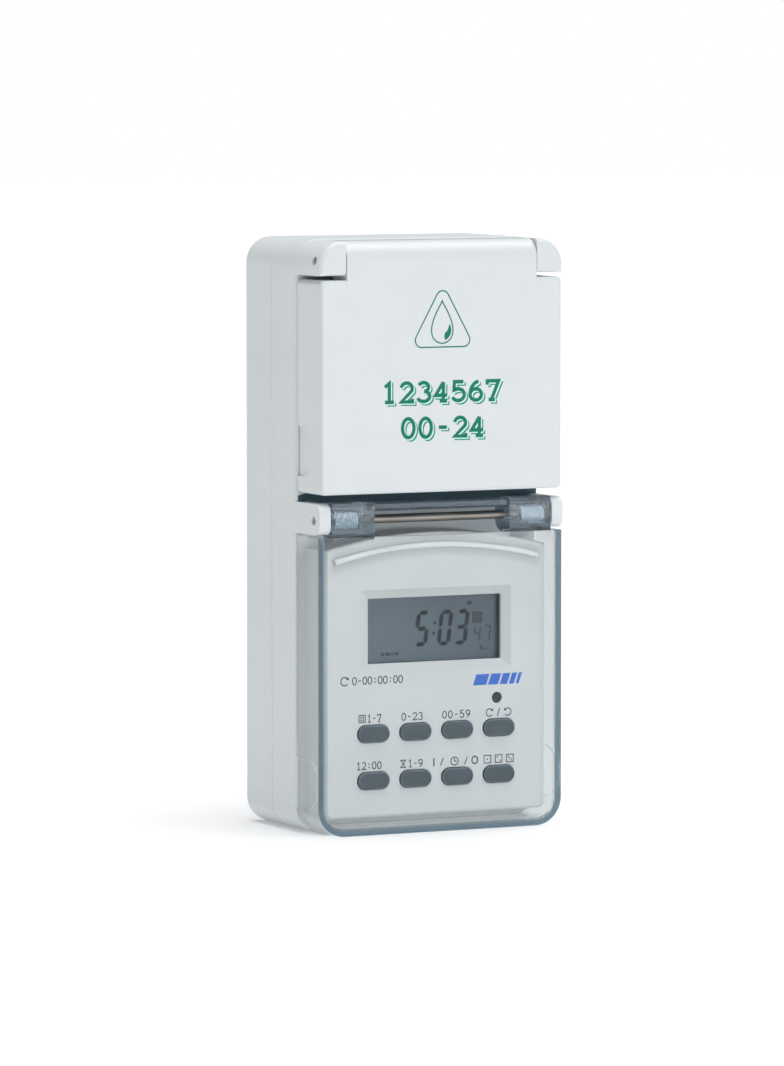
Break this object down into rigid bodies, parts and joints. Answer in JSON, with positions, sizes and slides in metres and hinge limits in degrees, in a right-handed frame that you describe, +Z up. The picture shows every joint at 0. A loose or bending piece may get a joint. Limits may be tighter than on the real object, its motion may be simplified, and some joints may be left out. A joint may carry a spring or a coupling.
{
  "type": "plug-in timer socket",
  "caption": "Weatherproof plug-in digital timer socket: sprung white cover over the outlet, sprung clear cover over a display and keypad, round two-pin plug at the back.",
  "frame": {"origin": "on the plug axis, at the rear face of the housing where the plug boss begins", "axes": "+Y along the plug, out of the back towards the wall outlet; the covers face -Y; +Z up with the outlet above the keypad; X across the pins"},
  "size_m": [0.062, 0.0757, 0.135],
  "materials": {
    "housing_plastic": "satin white grey",
    "cover_plastic": "semi gloss white",
    "clear_plastic": "clear moulded polycarbonate",
    "rubber_grey": "soft",
    "rubber_light": "soft",
    "steel": "bright",
    "spring_steel": "bright wire",
    "brass": "plain",
    "nickel": "nickel plated",
    "panel_plastic": "satin",
    "lcd": "grey display",
    "window": "clear",
    "key_plastic": "blue grey",
    "dark_plastic": "black",
    "board": "solder mask",
    "blue_plastic": "epoxy",
    "insulation_brown": "wire",
    "insulation_blue": "wire",
    "capacitor_sleeve": "sleeve",
    "capacitor_case": "cast case",
    "ceramic": "coated disc",
    "glass_tube": "clear"
  },
  "bodies": {
    "housing": {"backup_battery": "nickel", "board_link_cable": "rubber_grey", "control_board": "board", "control_board_screws": "steel", "control_chip": "dark_plastic", "control_panel": "panel_plastic", "earth_bar": "nickel", "electrolytic_capacitor": "capacitor_sleeve", "film_capacitor": "capacitor_case", "front_housing": "housing_plastic", "fuse": "glass_tube", "housing_screws": "steel", "keypad_membrane": "rubber_grey", "lcd_connector": "rubber_grey", "lcd_frame": "dark_plastic", "lcd_glass": "lcd", "lcd_window": "window", "plug_earth_strips": "nickel", "plug_pin_carrier": "dark_plastic", "plug_pin_line": "nickel", "plug_pin_neutral": "nickel", "power_board": "board", "power_board_screws": "steel", "quartz_crystal": "nickel", "rear_housing": "housing_plastic", "rectifier_diodes": "dark_plastic", "relay": "blue_plastic", "shell_gasket": "rubber_light", "socket_contact_line": "brass", "socket_contact_neutral": "brass", "socket_earth_clips": "nickel", "socket_hinge_pin": "steel", "socket_insert": "housing_plastic", "timer_hinge_pin": "steel", "varistor": "ceramic", "wire_line_in": "insulation_brown", "wire_line_switched": "insulation_brown", "wire_neutral": "insulation_blue"},
    "socket_cover_body": {"socket_cover": "cover_plastic", "socket_cover_gasket": "rubber_grey", "socket_cover_spring": "spring_steel"},
    "timer_cover_body": {"timer_cover": "clear_plastic", "timer_cover_springs": "spring_steel"},
    "reset_button_body": {"reset_button": "dark_plastic"},
    "key_week_body": {"key_week": "key_plastic"},
    "key_hour_body": {"key_hour": "key_plastic"},
    "key_minute_body": {"key_minute": "key_plastic"},
    "key_recall_body": {"key_recall": "key_plastic"},
    "key_clock_body": {"key_clock": "key_plastic"},
    "key_timer_body": {"key_timer": "key_plastic"},
    "key_mode_body": {"key_mode": "key_plastic"},
    "key_random_body": {"key_random": "key_plastic"}
  },
  "joints": [
    {"name": "socket_cover_hinge", "type": "hinge", "parent": "housing", "child": "socket_cover_body", "pos_m": [0, -0.0366, 0.02847], "axis": [-1, 0, 0], "range_deg": [0, 110], "stiffness_Nm_per_rad": 0.012, "springref_deg": -34.38, "deforming": ["socket_cover_spring"]},
    {"name": "timer_cover_hinge", "type": "hinge", "parent": "housing", "child": "timer_cover_body", "pos_m": [0, -0.03647, -0.03012], "axis": [-1, 0, 0], "range_deg": [0, 110], "stiffness_Nm_per_rad": 0.014, "springref_deg": -34.38, "deforming": ["timer_cover_springs"]},
    {"name": "key_week_press", "type": "slide", "parent": "housing", "child": "key_week_body", "axis": [0, 1, 0], "range_m": [0, 0.0008], "stiffness_N_per_m": 900, "springref_m": -0.0004},
    {"name": "key_hour_press", "type": "slide", "parent": "housing", "child": "key_hour_body", "axis": [0, 1, 0], "range_m": [0, 0.0008], "stiffness_N_per_m": 900, "springref_m": -0.0004},
    {"name": "key_minute_press", "type": "slide", "parent": "housing", "child": "key_minute_body", "axis": [0, 1, 0], "range_m": [0, 0.0008], "stiffness_N_per_m": 900, "springref_m": -0.0004},
    {"name": "key_recall_press", "type": "slide", "parent": "housing", "child": "key_recall_body", "axis": [0, 1, 0], "range_m": [0, 0.0008], "stiffness_N_per_m": 900, "springref_m": -0.0004},
    {"name": "key_clock_press", "type": "slide", "parent": "housing", "child": "key_clock_body", "axis": [0, 1, 0], "range_m": [0, 0.0008], "stiffness_N_per_m": 900, "springref_m": -0.0004},
    {"name": "key_timer_press", "type": "slide", "parent": "housing", "child": "key_timer_body", "axis": [0, 1, 0], "range_m": [0, 0.0008], "stiffness_N_per_m": 900, "springref_m": -0.0004},
    {"name": "key_mode_press", "type": "slide", "parent": "housing", "child": "key_mode_body", "axis": [0, 1, 0], "range_m": [0, 0.0008], "stiffness_N_per_m": 900, "springref_m": -0.0004},
    {"name": "key_random_press", "type": "slide", "parent": "housing", "child": "key_random_body", "axis": [0, 1, 0], "range_m": [0, 0.0008], "stiffness_N_per_m": 900, "springref_m": -0.0004},
    {"name": "reset_press", "type": "slide", "parent": "housing", "child": "reset_button_body", "axis": [0, 1, 0], "range_m": [0, 0.0005], "stiffness_N_per_m": 700, "springref_m": -0.0003}
  ]
}
